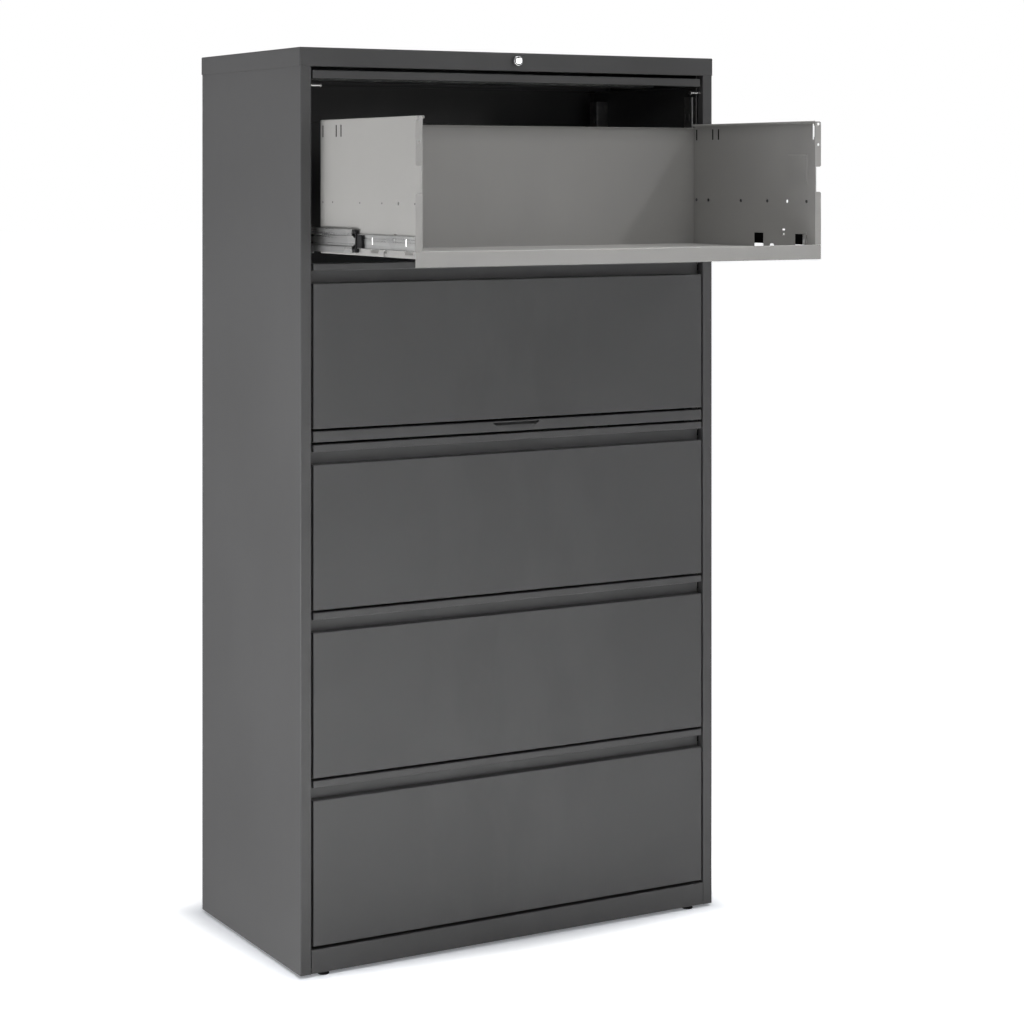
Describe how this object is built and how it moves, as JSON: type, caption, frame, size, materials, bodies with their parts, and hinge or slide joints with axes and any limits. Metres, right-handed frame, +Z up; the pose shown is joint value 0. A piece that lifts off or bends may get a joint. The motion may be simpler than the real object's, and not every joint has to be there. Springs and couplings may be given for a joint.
{
  "type": "lateral filing cabinet",
  "caption": "Tall steel lateral filing cabinet with a roll-out file shelf under a receding door, full-width drawers, a slim posting shelf and a top lock.",
  "frame": {"origin": "on the floor under the middle of the case, with the roll-out shelf out", "axes": "+Z up, fronts face -Y, +X to the right when facing the fronts"},
  "size_m": [0.9184, 0.8782, 1.7177],
  "materials": {
    "case_paint": "satin charcoal powder coat",
    "shelf_paint": "light grey powder coat",
    "zinc_plate": "zinc plated, dull",
    "slide_steel": "zinc plated, rolled",
    "bright_steel": "bright plated",
    "chrome": "polished",
    "black_plastic": "moulded"
  },
  "bodies": {
    "case": {"left_side_panel": "case_paint", "right_side_panel": "case_paint", "back_panel": "case_paint", "top_cap": "case_paint", "header_rail": "case_paint", "base_rail": "case_paint", "base_pan": "case_paint", "uprights": "zinc_plate", "door_tracks": "zinc_plate", "door_support_studs": "bright_steel", "slide_outers": "slide_steel", "posting_shelf_guides": "zinc_plate", "glide_brackets": "zinc_plate", "rod_guides": "black_plastic", "lock_housing": "chrome", "panel_rivets": "bright_steel"},
    "receding_door": {"door_panel": "case_paint", "door_stiffener": "zinc_plate", "door_pivot_pins": "bright_steel"},
    "rollout_shelf": {"rollout_tray": "shelf_paint", "rollout_lip": "shelf_paint", "rollout_left_side": "shelf_paint", "rollout_right_side": "shelf_paint", "slide_inner_1": "slide_steel"},
    "rollout_slide_middles": {"slide_middle_1": "slide_steel", "slide_latches_1": "black_plastic"},
    "drawer_2": {"drawer_2_front": "case_paint", "drawer_2_tray": "shelf_paint", "drawer_2_sides": "shelf_paint", "drawer_2_hang_rails": "zinc_plate", "slide_inner_2": "slide_steel"},
    "drawer_2_slide_middles": {"slide_middle_2": "slide_steel"},
    "drawer_3": {"drawer_3_front": "case_paint", "drawer_3_tray": "shelf_paint", "drawer_3_sides": "shelf_paint", "drawer_3_hang_rails": "zinc_plate", "slide_inner_3": "slide_steel"},
    "drawer_3_slide_middles": {"slide_middle_3": "slide_steel"},
    "drawer_4": {"drawer_4_front": "case_paint", "drawer_4_tray": "shelf_paint", "drawer_4_sides": "shelf_paint", "drawer_4_hang_rails": "zinc_plate", "slide_inner_4": "slide_steel"},
    "drawer_4_slide_middles": {"slide_middle_4": "slide_steel"},
    "drawer_5": {"drawer_5_front": "case_paint", "drawer_5_tray": "shelf_paint", "drawer_5_sides": "shelf_paint", "drawer_5_hang_rails": "zinc_plate", "slide_inner_5": "slide_steel"},
    "drawer_5_slide_middles": {"slide_middle_5": "slide_steel"},
    "posting_shelf": {"posting_shelf_front": "case_paint", "posting_shelf_tray": "shelf_paint"},
    "lock": {"lock_plug": "chrome", "lock_cam": "zinc_plate"},
    "lock_linkage": {"lock_link": "zinc_plate"},
    "lock_bar": {"lock_rod": "bright_steel"},
    "glide_front_left": {"glide_front_left": "black_plastic"},
    "glide_front_right": {"glide_front_right": "black_plastic"},
    "glide_rear_left": {"glide_rear_left": "black_plastic"},
    "glide_rear_right": {"glide_rear_right": "black_plastic"}
  },
  "joints": [
    {"name": "rollout_slide", "type": "slide", "parent": "case", "child": "rollout_shelf", "axis": [0, -1, 0], "range_m": [-0.4257, 0]},
    {"name": "rollout_middle_slide", "type": "slide", "parent": "case", "child": "rollout_slide_middles", "axis": [0, -1, 0], "range_m": [-0.21385, 0.001]},
    {"name": "door_slide", "type": "slide", "parent": "case", "child": "receding_door", "axis": [0, -1, 0], "range_m": [0, 0.31]},
    {"name": "drawer_2_slide", "type": "slide", "parent": "case", "child": "drawer_2", "axis": [0, -1, 0], "range_m": [0, 0.4]},
    {"name": "drawer_2_middle_slide", "type": "slide", "parent": "case", "child": "drawer_2_slide_middles", "axis": [0, -1, 0], "range_m": [-0.001, 0.201]},
    {"name": "drawer_3_slide", "type": "slide", "parent": "case", "child": "drawer_3", "axis": [0, -1, 0], "range_m": [0, 0.4]},
    {"name": "drawer_3_middle_slide", "type": "slide", "parent": "case", "child": "drawer_3_slide_middles", "axis": [0, -1, 0], "range_m": [-0.001, 0.201]},
    {"name": "drawer_4_slide", "type": "slide", "parent": "case", "child": "drawer_4", "axis": [0, -1, 0], "range_m": [0, 0.4]},
    {"name": "drawer_4_middle_slide", "type": "slide", "parent": "case", "child": "drawer_4_slide_middles", "axis": [0, -1, 0], "range_m": [-0.001, 0.201]},
    {"name": "drawer_5_slide", "type": "slide", "parent": "case", "child": "drawer_5", "axis": [0, -1, 0], "range_m": [0, 0.4]},
    {"name": "drawer_5_middle_slide", "type": "slide", "parent": "case", "child": "drawer_5_slide_middles", "axis": [0, -1, 0], "range_m": [-0.001, 0.201]},
    {"name": "posting_shelf_slide", "type": "slide", "parent": "case", "child": "posting_shelf", "axis": [0, -1, 0], "range_m": [0, 0.3]},
    {"name": "lock_turn", "type": "hinge", "parent": "case", "child": "lock", "pos_m": [0, -0.23655, 1.70161], "axis": [0, -1, 0], "range_deg": [0, 90]},
    {"name": "lock_link_slide", "type": "slide", "parent": "case", "child": "lock_linkage", "axis": [1, 0, 0], "range_m": [-0.0005, 0.0085]},
    {"name": "lock_bar_slide", "type": "slide", "parent": "case", "child": "lock_bar", "axis": [0, 0, 1], "range_m": [-0.0005, 0.0085]},
    {"name": "glide_front_left_screw", "type": "slide", "parent": "case", "child": "glide_front_left", "axis": [0, 0, -1], "range_m": [0, 0.012]},
    {"name": "glide_front_right_screw", "type": "slide", "parent": "case", "child": "glide_front_right", "axis": [0, 0, -1], "range_m": [0, 0.012]},
    {"name": "glide_rear_left_screw", "type": "slide", "parent": "case", "child": "glide_rear_left", "axis": [0, 0, -1], "range_m": [0, 0.012]},
    {"name": "glide_rear_right_screw", "type": "slide", "parent": "case", "child": "glide_rear_right", "axis": [0, 0, -1], "range_m": [0, 0.012]}
  ],
  "couplings": [
    {"joint": "rollout_middle_slide", "follows": "rollout_slide", "ratio": 0.5},
    {"joint": "drawer_2_middle_slide", "follows": "drawer_2_slide", "ratio": 0.5},
    {"joint": "drawer_3_middle_slide", "follows": "drawer_3_slide", "ratio": 0.5},
    {"joint": "drawer_4_middle_slide", "follows": "drawer_4_slide", "ratio": 0.5},
    {"joint": "drawer_5_middle_slide", "follows": "drawer_5_slide", "ratio": 0.5},
    {"joint": "lock_link_slide", "follows": "lock_turn", "m_per_rad": 0.005093},
    {"joint": "lock_bar_slide", "follows": "lock_turn", "m_per_rad": 0.005093}
  ]
}
